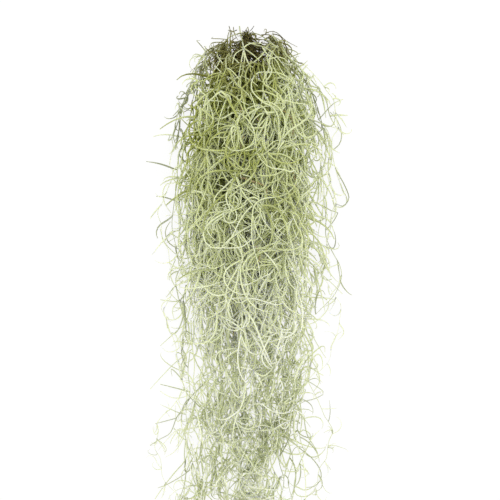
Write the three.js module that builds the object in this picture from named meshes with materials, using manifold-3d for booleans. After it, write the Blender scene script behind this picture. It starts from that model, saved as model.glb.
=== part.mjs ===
// A bunch of Spanish moss (Tillandsia usneoides), laid down on a flat surface.
//
// The bunch is a few dozen festoons, each one a lock of thread-thin stems that hang together.
// They start side by side at a knot of dead stems, the crown, and run down the bunch in four
// layers: the base layer is pressed flat where it lies on the surface, and the crown layer is
// the short one on top. Single shoots stray out of both flanks, over the top and past the tail.
//
// Millimetres. +Y points to the crown, -Y to the tips, +X across, +Z up from the surface.
// The origin is the middle of the surface that the bunch covers.

import * as THREE from "three";
import { mergeVertices } from "three/addons/utils/BufferGeometryUtils.js";
import Module from "manifold-3d";

const wasm = await Module();
wasm.setup();

// ---- Driving dimensions ----------------------------------------------------------------------

const BUNCH_LENGTH = 540; // crown to the last tip
const BODY_HALF_WIDTH = 57; // of the packed festoons, at the widest
const BODY_HEIGHT = 66; // of the packed festoons, at the thickest
const STEM_WIDTH = 1.3; // one live stem
const TIP_WIDTH = 0.6; // where a leaf ends

// ---- Outline of the body ---------------------------------------------------------------------

// Distance down from the crown end, half width, height, and how far the middle drifts across.
const OUTLINE = [
  { down: 0, half: 13, high: 28, middle: 1 },
  { down: 14, half: 26, high: 40, middle: 3 },
  { down: 30, half: 38, high: 49, middle: 1 },
  { down: 64, half: 50, high: 60, middle: 1 },
  { down: 125, half: BODY_HALF_WIDTH, high: BODY_HEIGHT, middle: 2 },
  { down: 190, half: 54, high: 65, middle: 0 },
  { down: 240, half: 50, high: 58, middle: 0 },
  { down: 290, half: 46, high: 49, middle: -1 },
  { down: 390, half: 46, high: 39, middle: -3 },
  { down: 460, half: 37, high: 31, middle: -3 },
  { down: BUNCH_LENGTH, half: 23, high: 20, middle: 0 },
];

/** A size of the body at a distance down, eased from one row of the outline to the next. */
function outlineAt(size, down) {
  const last = OUTLINE.length - 1;
  const after = Math.max(1, OUTLINE.findIndex((row) => row.down >= down));
  const row = (i) => OUTLINE[THREE.MathUtils.clamp(i, 0, last)];
  const [a, b] = [row(after - 1), row(after)];
  const slope = (from, to) => (to[size] - from[size]) / Math.max(to.down - from.down, 1);
  const span = b.down - a.down;
  const t = (down - a.down) / span;
  const start = slope(row(after - 2), b) * span;
  const stop = slope(a, row(after + 1)) * span;
  return (
    a[size] * (2 * t ** 3 - 3 * t ** 2 + 1) +
    start * (t ** 3 - 2 * t ** 2 + t) +
    b[size] * (3 * t ** 2 - 2 * t ** 3) +
    stop * (t ** 3 - t ** 2)
  );
}

const SHEAR = 0.1; // the upper layers lean over the lower ones, as a share of the half width
const SHEAR_WAVE = 240;
const SWELL = 0.07; // and rise and fall, as a share of their height
const SWELL_WAVE = 170;

/**
 * A point of the body. across runs from -1 to 1 over the width and up from 0 to 1 over the
 * height. Both shifts keep neighbouring cells apart, because each one only slides the rows
 * or the columns of a slice past each other.
 */
function bodyPoint(across, up, down) {
  const turn = 2 * Math.PI * down;
  const level = up * (1 + SWELL * Math.sin(turn / SWELL_WAVE + 1.7 * across));
  const side = across + SHEAR * Math.sin(turn / SHEAR_WAVE + 2.6 * level);
  return new THREE.Vector3(
    outlineAt("middle", down) + outlineAt("half", down) * side,
    BUNCH_LENGTH / 2 - down,
    Math.max(0, outlineAt("high", down) * level),
  );
}

// ---- Making solids ---------------------------------------------------------------------------

/**
 * A closed tube made by bending a cylinder: place gives the point for an angle, for a rim of 1
 * on the wall or 0 at the middle of an end, and for the number of the ring it is on.
 */
function bentTube(sides, rings, place) {
  const tube = new THREE.CylinderGeometry(1, 1, 1, sides, rings - 1);
  const at = tube.getAttribute("position");
  for (let i = 0; i < at.count; i++) {
    const ring = Math.round((0.5 - at.getY(i)) * (rings - 1));
    const rim = Math.hypot(at.getX(i), at.getZ(i)) > 0.5 ? 1 : 0;
    const point = place(Math.atan2(at.getZ(i), at.getX(i)), rim, ring);
    at.setXYZ(i, point.x, point.y, point.z);
  }
  tube.computeVertexNormals();
  return tube;
}

/** A round thread along a curve, tapering from one width to another. */
function thread(curve, startWidth, endWidth, sides, rings) {
  const frames = curve.computeFrenetFrames(rings - 1, false);
  return bentTube(sides, rings, (angle, rim, ring) => {
    const share = ring / (rings - 1);
    const radius = (rim * THREE.MathUtils.lerp(startWidth, endWidth, share)) / 2;
    return curve
      .getPointAt(share)
      .addScaledVector(frames.normals[ring], radius * Math.cos(angle))
      .addScaledVector(frames.binormals[ring], radius * Math.sin(angle));
  });
}

function toSolid(geometry) {
  const bare = geometry.clone();
  bare.deleteAttribute("normal");
  bare.deleteAttribute("uv");
  const merged = mergeVertices(bare, 1e-4);
  return new wasm.Manifold(
    new wasm.Mesh({
      numProp: 3,
      vertProperties: merged.getAttribute("position").array,
      triVerts: new Uint32Array(merged.index.array),
    }),
  );
}

/** Joins tubes that run into each other into one geometry. */
function joined(geometries) {
  const whole = geometries.map(toSolid).reduce((a, b) => a.add(b));
  const { vertProperties, triVerts } = whole.getMesh();
  const geometry = new THREE.BufferGeometry();
  geometry.setAttribute("position", new THREE.BufferAttribute(vertProperties, 3));
  geometry.setIndex(new THREE.BufferAttribute(triVerts, 1));
  geometry.computeVertexNormals();
  return geometry;
}

// ---- Materials -------------------------------------------------------------------------------

const LIVE_GREEN = new THREE.MeshStandardMaterial({ color: 0xb4bd8c, roughness: 0.85, metalness: 0 });
const OLD_GREEN = new THREE.MeshStandardMaterial({ color: 0x8d9660, roughness: 0.9, metalness: 0 });
const DRIED_TAN = new THREE.MeshStandardMaterial({ color: 0xa08a5c, roughness: 0.9, metalness: 0 });
const DEAD_BROWN = new THREE.MeshStandardMaterial({ color: 0x3d3322, roughness: 0.95, metalness: 0 });

const bunch = new THREE.Group();
bunch.name = "spanish_moss_bunch";

function addPiece(name, geometry, material) {
  const piece = new THREE.Mesh(geometry, material);
  piece.name = name;
  bunch.add(piece);
}

// ---- Festoons --------------------------------------------------------------------------------

const FESTOON_SIDES = 9; // three to each of the three strands
const STRANDS = 3;
const STRAND_GROOVE = 0.26; // how deep the grooves between the strands are, as a share of radius
const STRAND_TURN = 160; // the strands twist once around in this many mm
const RING_SPACING = 30; // neighbours share their ring positions, so their walls never cross
const END_LENGTH = 7; // of the rounded end
const END_SHARE = 0.35; // an end ring is this share of the full radius

/** Distances down the bunch at which a festoon has its rings. */
function ringStations(from, to) {
  const shared = [];
  for (let k = Math.ceil((from + 2 * END_LENGTH) / RING_SPACING); ; k++) {
    if (k * RING_SPACING > to - 2 * END_LENGTH) break;
    shared.push(k * RING_SPACING);
  }
  return [from, from + END_LENGTH, ...shared, to - END_LENGTH, to];
}

/** A lock of three twisted strands that fills one cell of the body, from one distance to another. */
function festoon({ across, up, halfCell, tallCell, from, to }) {
  const stations = ringStations(from, to);
  const last = stations.length - 1;
  return bentTube(FESTOON_SIDES, stations.length, (angle, rim, ring) => {
    const down = stations[ring];
    const twist = (2 * Math.PI * down) / STRAND_TURN;
    const lobe = 1 - STRAND_GROOVE * (0.5 - 0.5 * Math.cos(STRANDS * angle + twist));
    const end = ring === 0 || ring === last ? END_SHARE : 1;
    const reach = rim * lobe * end;
    return bodyPoint(
      across + halfCell * reach * Math.cos(angle),
      Math.max(0, up + tallCell * reach * Math.sin(angle)),
      down,
    );
  });
}

const CELL_PITCH = 0.25; // between neighbours in a layer, as a share of the body's half width
const CELL_HALF_WIDTH = 0.112; // of one festoon, as a share of the body's half width
const GOLDEN = 0.618034;
const ragged = (index) => (index * GOLDEN) % 1; // spreads the ends evenly but out of step
const END_STEP = 5; // festoons end on whole steps of this

// A layer holds its festoons side by side. level and tall are shares of the body's height: where
// the layer's middle is and how far it reaches to each side of that. The ends are staggered by up
// to ragEnd mm, and the festoons at the flanks are shorter by up to flank mm.
const LAYERS = [
  { name: "base_festoon", count: 8, level: 0.115, tall: 0.185, from: 18, to: 520, ragEnd: 80, flank: 40 },
  { name: "core_festoon", count: 7, level: 0.43, tall: 0.115, from: 16, to: 440, ragEnd: 70, flank: 50 },
  { name: "upper_festoon", count: 6, level: 0.675, tall: 0.115, from: 15, to: 350, ragEnd: 70, flank: 40 },
  { name: "crown_festoon", count: 5, level: 0.91, tall: 0.105, from: 14, to: 275, ragEnd: 55, flank: 30 },
  { name: "tail_festoon", count: 4, level: 0.5, tall: 0.17, from: 446, to: 550, ragEnd: 30, flank: 20 },
];

for (const layer of LAYERS) {
  for (let i = 0; i < layer.count; i++) {
    const across = (i - (layer.count - 1) / 2) * CELL_PITCH;
    const end = layer.to - layer.flank * Math.abs(across) - layer.ragEnd * ragged(i + 1);
    const geometry = festoon({
      across,
      up: layer.level,
      halfCell: CELL_HALF_WIDTH,
      tallCell: layer.tall,
      from: layer.from + 8 * ragged(i + 3),
      to: END_STEP * Math.round(end / END_STEP),
    });
    const material = layer.name === "core_festoon" ? OLD_GREEN : LIVE_GREEN;
    addPiece(`${layer.name}_${i + 1}`, geometry, material);
  }
}

// ---- Knot of dead stems at the crown ---------------------------------------------------------

const KNOT_LENGTH = 10;
const KNOT_HALF_WIDTH = 20;
const KNOT_HEIGHT = 34;
const KNOT_LOBES = 7;
const KNOT_RINGS = 6;
const KNOT_TOP = 3; // the knot begins this far down, and its stubs reach up to the crown end
const STUB_WIDTH = 2.4;
const STUBS = [
  { across: -0.7, up: 0.3, lean: -0.5 },
  { across: -0.35, up: 0.62, lean: 0.3 },
  { across: 0.05, up: 0.4, lean: -0.2 },
  { across: 0.25, up: 0.7, lean: 0.45 },
  { across: 0.65, up: 0.45, lean: 0.2 },
];

const knotPoint = (across, up, down) =>
  new THREE.Vector3(
    KNOT_HALF_WIDTH * across,
    BUNCH_LENGTH / 2 - down,
    Math.max(0, KNOT_HEIGHT * (0.5 + 0.5 * up)),
  );

const knotBody = bentTube(3 * KNOT_LOBES, KNOT_RINGS, (angle, rim, ring) => {
  const share = ring / (KNOT_RINGS - 1);
  const bulge = Math.sin(Math.PI * (0.16 + 0.5 * share));
  const lobe = 1 - 0.14 * (0.5 - 0.5 * Math.cos(KNOT_LOBES * angle));
  const reach = rim * bulge * lobe;
  return knotPoint(reach * Math.cos(angle), reach * Math.sin(angle), KNOT_TOP + KNOT_LENGTH * share);
});
const knotStubs = STUBS.map(({ across, up, lean }) => {
  const foot = knotPoint(across * 0.5, up * 0.8 - 0.2, KNOT_TOP + 4);
  const head = foot.clone().add(new THREE.Vector3(lean * 8, KNOT_TOP + 4, 3 * lean));
  const middle = foot.clone().lerp(head, 0.5).add(new THREE.Vector3(0, 0, 1));
  const curve = new THREE.QuadraticBezierCurve3(foot, middle, head);
  return thread(curve, STUB_WIDTH, STUB_WIDTH * 0.8, 6, 3);
});
addPiece("dead_stem_knot", joined([knotBody, ...knotStubs]), DEAD_BROWN);

// ---- Single shoots that stray out of the bunch -----------------------------------------------

const SHOOT_SIDES = 5;
const SHOOT_RINGS = 15;
const LEAF_SIDES = 4;
const LEAF_RINGS = 6;
const SHOOT_GAP = 2.5; // a shoot keeps this far from the festoons

/** A leaf that leaves the stem in one direction and bends over to another. */
function leaf(start, heading, bendTo, length) {
  const middle = start.clone().addScaledVector(heading, length * 0.5);
  const tip = middle.clone().addScaledVector(bendTo, length * 0.5);
  [middle, tip].forEach((p) => (p.z = Math.max(p.z, STEM_WIDTH / 2)));
  const curve = new THREE.QuadraticBezierCurve3(start, middle, tip);
  return thread(curve, STEM_WIDTH * 0.85, TIP_WIDTH, LEAF_SIDES, LEAF_RINGS);
}

/** One shoot: a stem through some points, with leaves that spread to its outer side. */
function shoot(points, outward, leafShares, leafLength) {
  const stem = new THREE.CatmullRomCurve3(points, false, "centripetal");
  const leaves = leafShares.map((share, i) => {
    const along = stem.getTangentAt(share);
    const spread = i % 2 ? 0.35 : 0.9;
    const heading = along.clone().addScaledVector(outward, spread).normalize();
    const bendTo = along.clone().addScaledVector(outward, -0.25 * spread);
    bendTo.z -= 0.2;
    return leaf(stem.getPointAt(share), heading, bendTo.normalize(), leafLength);
  });
  return joined([thread(stem, STEM_WIDTH, TIP_WIDTH, SHOOT_SIDES, SHOOT_RINGS), ...leaves]);
}

/** A shoot that leaves one flank, sags to the surface and runs on beside the bunch. */
function flankShoot({ side, from, run, reach, lift }) {
  const at = (share, out, height) => {
    const down = from + run * share;
    const edge = bodyPoint(side, 0.25, down).x + side * SHOOT_GAP;
    return new THREE.Vector3(edge + side * out * reach, BUNCH_LENGTH / 2 - down, height);
  };
  const points = [
    at(0, 0, lift),
    at(0.2, 0.55, lift + 5),
    at(0.45, 1, lift * 0.7),
    at(0.7, 0.8, lift * 0.25 + STEM_WIDTH),
    at(1, 0.35, STEM_WIDTH * 0.6),
  ];
  return shoot(points, new THREE.Vector3(side * 0.8, 0, 0.25), [0.3, 0.5, 0.72], run * 0.26);
}

const FLANK_SHOOTS = [
  { side: -1, from: 36, run: 95, reach: 11, lift: 30 },
  { side: -1, from: 118, run: 100, reach: 14, lift: 27 },
  { side: -1, from: 205, run: 95, reach: 24, lift: 24 },
  { side: -1, from: 300, run: 105, reach: 27, lift: 18 },
  { side: -1, from: 408, run: 80, reach: 22, lift: 12 },
  { side: 1, from: 30, run: 90, reach: 15, lift: 28 },
  { side: 1, from: 105, run: 105, reach: 16, lift: 30 },
  { side: 1, from: 200, run: 100, reach: 22, lift: 22 },
  { side: 1, from: 305, run: 105, reach: 24, lift: 17 },
  { side: 1, from: 414, run: 86, reach: 20, lift: 11 },
];
FLANK_SHOOTS.forEach((settings, i) => {
  addPiece(`flank_shoot_${i + 1}`, flankShoot(settings), LIVE_GREEN);
});

/** A shoot that arches over the top of the bunch. */
function topShoot({ across, level, from, run, rise, cross }) {
  const at = (share, height) => {
    const down = from + run * share;
    const top = bodyPoint(across + cross * share, level, down);
    return top.setZ(top.z + SHOOT_GAP + rise * height);
  };
  const points = [at(0, 0), at(0.25, 0.8), at(0.5, 1), at(0.75, 0.6), at(1, 0.1)];
  const outward = new THREE.Vector3(Math.sign(cross) * 0.7, 0, 0.3);
  return shoot(points, outward, [0.35, 0.6, 0.8], run * 0.28);
}

const TOP_SHOOTS = [
  { across: -0.15, level: 1.09, from: 20, run: 90, rise: 7, cross: -0.25, material: LIVE_GREEN },
  { across: 0.2, level: 1.09, from: 90, run: 95, rise: 8, cross: 0.2, material: LIVE_GREEN },
  { across: -0.3, level: 1.09, from: 165, run: 90, rise: 7, cross: 0.3, material: DRIED_TAN },
  { across: 0.1, level: 0.85, from: 355, run: 85, rise: 9, cross: 0.25, material: LIVE_GREEN },
];
TOP_SHOOTS.forEach((settings, i) => {
  addPiece(`top_shoot_${i + 1}`, topShoot(settings), settings.material);
});

// ---- Origin ----------------------------------------------------------------------------------

const reachOfBunch = new THREE.Box3().setFromObject(bunch);
const middleOfBunch = reachOfBunch.getCenter(new THREE.Vector3());
for (const piece of bunch.children) {
  piece.geometry.translate(-middleOfBunch.x, -middleOfBunch.y, -reachOfBunch.min.z);
}

export default bunch;
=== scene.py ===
"""A bunch of Spanish moss, laid down on a pale floor and seen from above.

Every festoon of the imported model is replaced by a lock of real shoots: stems as thin as thread
that wander down the festoon, with curling leaves at every joint. The crown gets its tangle of
dead stems, and single shoots arch over the bunch and stray out of its flanks.
"""

import math
import random
from functools import partial
from typing import NamedTuple

import bpy
from bpy.props import FloatProperty, FloatVectorProperty, IntProperty, PointerProperty
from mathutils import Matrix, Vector, noise


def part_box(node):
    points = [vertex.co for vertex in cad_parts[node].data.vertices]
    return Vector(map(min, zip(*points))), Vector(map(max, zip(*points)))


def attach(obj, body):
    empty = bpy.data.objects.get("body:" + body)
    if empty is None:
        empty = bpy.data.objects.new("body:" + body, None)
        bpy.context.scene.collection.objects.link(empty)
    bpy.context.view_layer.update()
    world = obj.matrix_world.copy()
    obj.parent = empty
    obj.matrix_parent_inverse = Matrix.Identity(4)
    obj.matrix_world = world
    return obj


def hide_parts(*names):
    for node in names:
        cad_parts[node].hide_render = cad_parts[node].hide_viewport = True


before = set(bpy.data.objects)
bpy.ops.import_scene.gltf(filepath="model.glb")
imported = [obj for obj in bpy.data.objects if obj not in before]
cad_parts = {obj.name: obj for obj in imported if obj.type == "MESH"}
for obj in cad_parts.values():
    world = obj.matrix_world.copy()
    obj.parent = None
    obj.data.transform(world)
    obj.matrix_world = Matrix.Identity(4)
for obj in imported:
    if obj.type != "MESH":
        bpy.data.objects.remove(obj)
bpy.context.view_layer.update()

bl_info = {
    "name": "Spanish moss bunch",
    "version": (1, 0, 0),
    "blender": (4, 5, 0),
    "location": "3D View > Sidebar > Moss",
    "description": "Grows the shoots of a Spanish moss bunch over its packed frame",
    "category": "Add Mesh",
}

MM = 0.001
TAU = 2 * math.pi
TAILWARD = Vector((0, -1, 0))
UP = Vector((0, 0, 1))


def linear(hex_colour):
    """An sRGB hex colour as linear RGB."""
    channels = [int(hex_colour[i : i + 2], 16) / 255 for i in (1, 3, 5)]
    return tuple(c / 12.92 if c <= 0.04045 else ((c + 0.055) / 1.055) ** 2.4 for c in channels)


def ramp(value, start, end):
    """0 up to the start, 1 from the end on, even in between."""
    return min(max((value - start) / (end - start), 0.0), 1.0)


def eased(share):
    """A share that sets in and runs out gently."""
    return share * share * (3 - 2 * share)


def outlet(value):
    """The first output in use of a node. Anything else is passed on as it is."""
    return next(s for s in value.outputs if s.enabled) if isinstance(value, bpy.types.Node) else value


def fill(tree, node, inputs):
    """Fills a node's inputs, by name or in their order, with values, sockets or whole nodes."""
    sockets = [socket for socket in node.inputs if socket.enabled]
    if isinstance(inputs, dict):
        names = [socket.name for socket in sockets]
        sockets = [sockets[names.index(name)] for name in inputs]
        inputs = inputs.values()
    for socket, value in zip(sockets, map(outlet, inputs)):
        if isinstance(value, bpy.types.NodeSocket):
            tree.links.new(value, socket)
        else:
            socket.default_value = value


def add(tree, kind, inputs=(), operation=None, **settings):
    """Adds a node with its settings and links. A maths node's operation may come third."""
    node = tree.nodes.new(kind)
    if operation:
        node.operation = operation
    for name, value in settings.items():
        setattr(node, name, value)
    fill(tree, node, inputs)
    return node


MATH = "ShaderNodeMath"
VECTOR_MATH = "ShaderNodeVectorMath"
MAP_RANGE = "ShaderNodeMapRange"  # takes a value, the range it comes from and the one it goes to


# ---- Settings --------------------------------------------------------------------------------


def size(name, where, metres):
    """A size that can be set in the panel."""
    return FloatProperty(name=name, description=where, default=metres, subtype="DISTANCE")


def shade(name, where, hex_colour):
    """A colour that can be set in the panel."""
    return FloatVectorProperty(name=name, description=where, default=linear(hex_colour), subtype="COLOR")


class MossShootSettings(bpy.types.PropertyGroup):
    """Sizes of one shoot."""

    stem_width: size("Stem width", "Across a live stem", 1.7 * MM)
    leaf_width: size("Leaf width", "Across a leaf at its base", 1.65 * MM)
    tip_width: size("Tip width", "Across a leaf at its tip", 0.6 * MM)
    seed: IntProperty(name="Seed", description="Starts every random draw", default=7)


class MossColourSettings(bpy.types.PropertyGroup):
    """Colours of the live and the dead parts."""

    pale: shade("Pale green", "Outer shoots", "#c7cea1")
    mid: shade("Mid green", "Most shoots", "#a1a85e")
    deep: shade("Deep green", "Shaded shoots", "#777f36")
    silver: shade("Silver green", "Palest shoots of the tail, and the scales", "#e6e9d6")
    fresh: shade("Fresh green", "Most shoots of the tail", "#d2d8b2")
    ash: shade("Ash green", "Darkest shoots of the tail", "#949b72")
    # painted light: the washed-out grey of thin shoots in bright light from behind
    weathered: shade("Backlit grey", "Thin stray shoots", "#868b72")
    worn: shade("Worn olive", "Old shoots at the crown", "#5e5a20")
    dried: shade("Dried tan", "Dried shoots", "#9c8c66")
    rust: shade("Rust brown", "Shade of dried shoots", "#6e5f42")
    dead: shade("Dead brown", "Dead stems", "#6f683a")
    black: shade("Dead black", "Shade of dead stems", "#3c3713")


class MossStageSettings(bpy.types.PropertyGroup):
    """Floor, lights and camera."""

    floor_size: size("Floor size", "Side of the floor", 30.0)
    sky: FloatProperty(name="Sky", description="Strength of the even light", default=1.0)
    key: FloatProperty(name="Key light", description="Of the large lamp", default=11.0, subtype="POWER")


# ---- Stage -----------------------------------------------------------------------------------

VIEW_HEIGHT = 425 * MM  # of the bunch that the camera takes in
VIEW_MIDDLE = Vector((1.1 * MM, 78.8 * MM, 45 * MM))
LENS = 110.0
SENSOR = 36.0
VIEW_DISTANCE = VIEW_HEIGHT * LENS / SENSOR
FLOOR_GREY = 0.14  # dark enough to show no hard shadows
FLOOR_GLOW = 0.84  # and lit evenly from within, so that it still looks white
LAMP_PLACE = (0.1, 0.5, 1.6)
LAMP_SIZE = 0.9


def board_material():
    """Matt white board of a light table: a plain pale ground with soft faint shadows."""
    material = bpy.data.materials.new("matt_white_board")
    material.use_nodes = True
    tree = material.node_tree
    looks = {
        "Base Color": (FLOOR_GREY, FLOOR_GREY, FLOOR_GREY, 1),
        "Roughness": 0.9,
        "Specular IOR Level": 0.1,
        "Emission Color": (1, 1, 1, 1),
        "Emission Strength": FLOOR_GLOW,
    }
    fill(tree, tree.nodes["Principled BSDF"], looks)
    return material


class MOSS_OT_stage(bpy.types.Operator):
    """Camera straight above the bunch, a pale floor and soft lights"""

    bl_idname = "moss.stage"
    bl_label = "Stage"

    def execute(self, context):
        settings = context.scene.moss_stage
        camera = bpy.data.cameras.new("camera")
        camera.lens = LENS
        camera.sensor_width = SENSOR
        holder = bpy.data.objects.new("camera", camera)
        holder.location = VIEW_MIDDLE + UP * VIEW_DISTANCE
        context.scene.collection.objects.link(holder)
        context.scene.camera = holder

        bpy.ops.mesh.primitive_plane_add(size=settings.floor_size)
        floor = context.active_object
        floor.name = "floor"
        floor.data.materials.append(board_material())

        world = context.scene.world or bpy.data.worlds.new("even_light")
        context.scene.world = world
        world.use_nodes = True
        sky = {"Color": (1, 1, 1, 1), "Strength": settings.sky}
        fill(world.node_tree, world.node_tree.nodes["Background"], sky)

        lamp = bpy.data.lights.new("key_light", "AREA")
        lamp.energy = settings.key
        lamp.size = LAMP_SIZE
        key = bpy.data.objects.new("key_light", lamp)
        key.location = LAMP_PLACE
        key.rotation_euler = (VIEW_MIDDLE - key.location).to_track_quat("-Z", "Y").to_euler()
        context.scene.collection.objects.link(key)
        context.scene.view_settings.view_transform = "Standard"
        return {"FINISHED"}


# ---- Materials -------------------------------------------------------------------------------

SCALE_SIZE = 0.7 * MM  # the real scales are 0.2 mm, drawn coarser so that they show
SCALE_HEIGHT = 0.15 * MM
SCALE_FELT = (0.45, 0.7, 0.0, 0.2)  # where the scales stand close, they give so much silver
SCALE_ROUGHNESS = (0.6, 0.95)  # between the scales and on them
PATCH_SIZE = 40 * MM  # lighter and darker stretches of the bunch
PATCH_TONE = (0.3, 0.7, 0.0, 0.7)  # from the darkest to the lightest
CROWN_AGE = (150 * MM, 262 * MM)  # along Y, from shoots in full leaf to the oldest
AGE_ASIDE = 0.8  # a step aside from the knot counts for so much of a step down the bunch
AGE_WEIGHT = 1.65  # how much more age counts than a shoot's own tone, which spares the palest
AGE_WEAR = (0.3, 1.1, 0.0, 0.92)  # from shoots that are spared to worn ones
TAIL_YOUTH_AND_LIGHT = (158 * MM, 15 * MM)  # from shoots in full leaf to the youngest, along Y; the paler tail colours are partly painted light, where light gets through
TAIL_CLEARS_PAINTED_SHADE = 0.9  # share of the painted shade inside the bunch that is gone where the paler tail colours take over
TAIL_INSIDE_PAINTED_LIGHT = 0.55  # painted light: there the inside is paler by this much, because light gets through
GREEN_STOPS = (0.1, 0.5, 1.0)
FAIR_STOPS = (0.0, 0.5, 1.0)


def strand_material(name, shades, most_youth_and_light):
    """Skin of a shoot: a matt stem under a felt of tiny silver scales, which gives the eye a soft
    grey bloom with a fine grain and no gloss. Painted shade gives shoots deep inside the bunch the
    deepest green and leaves those in the open the palest, old ones at the crown are worn, and the
    tail turns paler and most silver, partly for its youngest shoots and partly as painted light.

    shades names its colours: deep, mid and pale, then worn, then ash, fresh and silver.
    """
    if name in bpy.data.materials:
        return bpy.data.materials[name]
    settings = bpy.context.scene.moss_colours
    *greens, worn, ash, fresh, silver = ((*getattr(settings, word), 1) for word in shades.split())
    material = bpy.data.materials.new(name)
    material.use_nodes = True
    tree = material.node_tree
    node = partial(add, tree)

    tone = node("ShaderNodeAttribute", attribute_name="tone").outputs["Fac"]
    depth = node("ShaderNodeAttribute", attribute_name="depth").outputs["Fac"]
    place = node("ShaderNodeTexCoord").outputs["Object"]
    x, y, _ = node("ShaderNodeSeparateXYZ", (place,)).outputs
    grain = {"Vector": place, "Scale": 1 / SCALE_SIZE, "Detail": 2.0, "Roughness": 0.6}
    scales = node("ShaderNodeTexNoise", grain)
    patches = node("ShaderNodeTexNoise", {"Vector": place, "Scale": 1 / PATCH_SIZE, "Detail": 1.0})

    # greens, from the shade to the light: each shoot's own tone, lighter and darker stretches, and painted
    # shade deep inside the bunch, cleared in part toward the tail
    # the tail's paler, greyer colours: partly its youngest shoots, partly painted light
    tail_youth_and_light = node(MAP_RANGE, (y, *TAIL_YOUTH_AND_LIGHT, 0.0, most_youth_and_light))
    # painted shade: the deeper a leaf lies in the bunch, the darker its green
    shading = node(MATH, (tail_youth_and_light, TAIL_CLEARS_PAINTED_SHADE, -1.0), "MULTIPLY_ADD")
    shaded = node(MATH, (depth, shading, tone), "MULTIPLY_ADD")
    lit = node(MATH, (node(MAP_RANGE, (patches, *PATCH_TONE)), shaded), "ADD")
    # painted light: deeper leaves take paler tail colours
    tone_and_painted_light = node(MATH, (depth, TAIL_INSIDE_PAINTED_LIGHT, tone), "MULTIPLY_ADD")
    blends = []
    for light, places, colours in (
        (lit, GREEN_STOPS, greens), (tone_and_painted_light, FAIR_STOPS, (ash, fresh, silver))
    ):
        blend = node("ShaderNodeValToRGB", (light,))
        stops = blend.color_ramp.elements
        stops.new(places[1])
        for stop, stop_place, stop_colour in zip(stops, places, colours):
            stop.position, stop.color = stop_place, stop_colour
        blends.append(blend)
    green, fair = blends

    # wear at the crown
    aside = node(MATH, (x,), "ABSOLUTE")
    from_knot = node(MATH, (aside, -AGE_ASIDE, y), "MULTIPLY_ADD")
    age = node(MAP_RANGE, (from_knot, *CROWN_AGE))
    spared = node(MATH, (tone, -1.0), "MULTIPLY")
    aged = node(MATH, (age, AGE_WEIGHT, spared), "MULTIPLY_ADD")
    wear = node(MAP_RANGE, (aged, *AGE_WEAR))

    # silver scales over all of it, showing less silver where the colour is darker, painted shade included
    felt = node(MAP_RANGE, (scales, *SCALE_FELT))
    felt = node(MATH, (felt, lit), "MULTIPLY", use_clamp=True)
    colour = green
    for share, layer in ((wear, worn), (tail_youth_and_light, fair), (felt, silver)):
        colour = node("ShaderNodeMixRGB", (share, colour, layer))
    rough = node(MAP_RANGE, (scales, 0.0, 1.0, *SCALE_ROUGHNESS))
    bump = node("ShaderNodeBump", {"Height": scales, "Strength": 0.3, "Distance": SCALE_HEIGHT})
    looks = {
        "Base Color": colour,
        "Roughness": rough,
        "Normal": bump,
        "Specular IOR Level": 0.1,
        "Sheen Weight": 0.05,
        "Sheen Roughness": 0.5,
        "Subsurface Weight": 0.8,
        "Subsurface Radius": (1.0, 1.0, 0.6),
        "Subsurface Scale": 1.2 * MM,
    }
    fill(tree, tree.nodes["Principled BSDF"], looks)
    return material


def live_skin():
    """Live shoots: grey green under silver scales."""
    return strand_material("air_plant_skin", "deep mid pale worn ash fresh silver", most_youth_and_light=1.0)


def stray_skin():
    """Single thin shoots in the open: greyer, painted for the washed-out look of thin shoots in bright
    light from behind.
    """
    shades = "deep weathered fresh worn weathered fresh silver"
    return strand_material("stray_shoot_skin", shades, most_youth_and_light=1.0)


def dried_skin():
    """Shoots that dried while they hung: tan to rust, with hardly any scales left."""
    return strand_material("dried_shoot_skin", "rust dried dried rust dried dried dried", most_youth_and_light=0.0)


def dead_skin():
    """Stems that lost their skin: bare dark fibre, almost black in the shade."""
    return strand_material("dead_stem_bark", "black dead dead black worn worn worn", most_youth_and_light=0.0)


# ---- Shoots ----------------------------------------------------------------------------------

SHOOT_INPUTS = {
    "Geometry": "Geometry",
    "Stem width": "Float",
    "Leaf width": "Float",
    "Tip width": "Float",
    "Leaf length": "Float",
    "Joint spacing": "Float",
    "Leaves per joint": "Int",
    "Least curl": "Float",
    "Most curl": "Float",
    "Along": "Float",
    "Outward": "Float",
    "Hug": "Float",
    "Tailward": "Float",
    "Sag height": "Float",
    "Seed": "Int",
    "Material": "Material",
}
STEM_STEP = 3.5 * MM
STEM_SIDES = 5
STEM_RADII = (0.5, 0.3)  # of its root and its tip, as shares of its width
LEAF_SIDES = 4
LEAF_POINTS = 10
TAPER_FROM = 0.5  # up to here, stems and leaves keep their width
HOOK_POWER = 3.0  # how sharply a hooked leaf turns at its end
SAG = 0.6  # what stands above the sag height sinks back by this share of it
DEPTH_REACH = 30 * MM  # a leaf that climbs this far comes from the shade into the light
LOCK = 34 * MM  # over this distance the shoots change direction together
FLOW = 5.5  # how strongly they do
CHANCE = 0.5  # how much each leaf strays from that
LOCK_SEED = 0.37  # keeps the directions of two pieces apart
LOOSE_STRAYS = 0.7  # share of its stem's way and of its droop that a loose leaf gives up
LOOSE_CURLS = 0.25  # by this share it curls more
LOOSE_THINS = 0.25  # and by this much it is thinner
LEAF_GIRTH = (0.45, 0.6)  # thickness of a leaf: what all have, and what follows its stem


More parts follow.
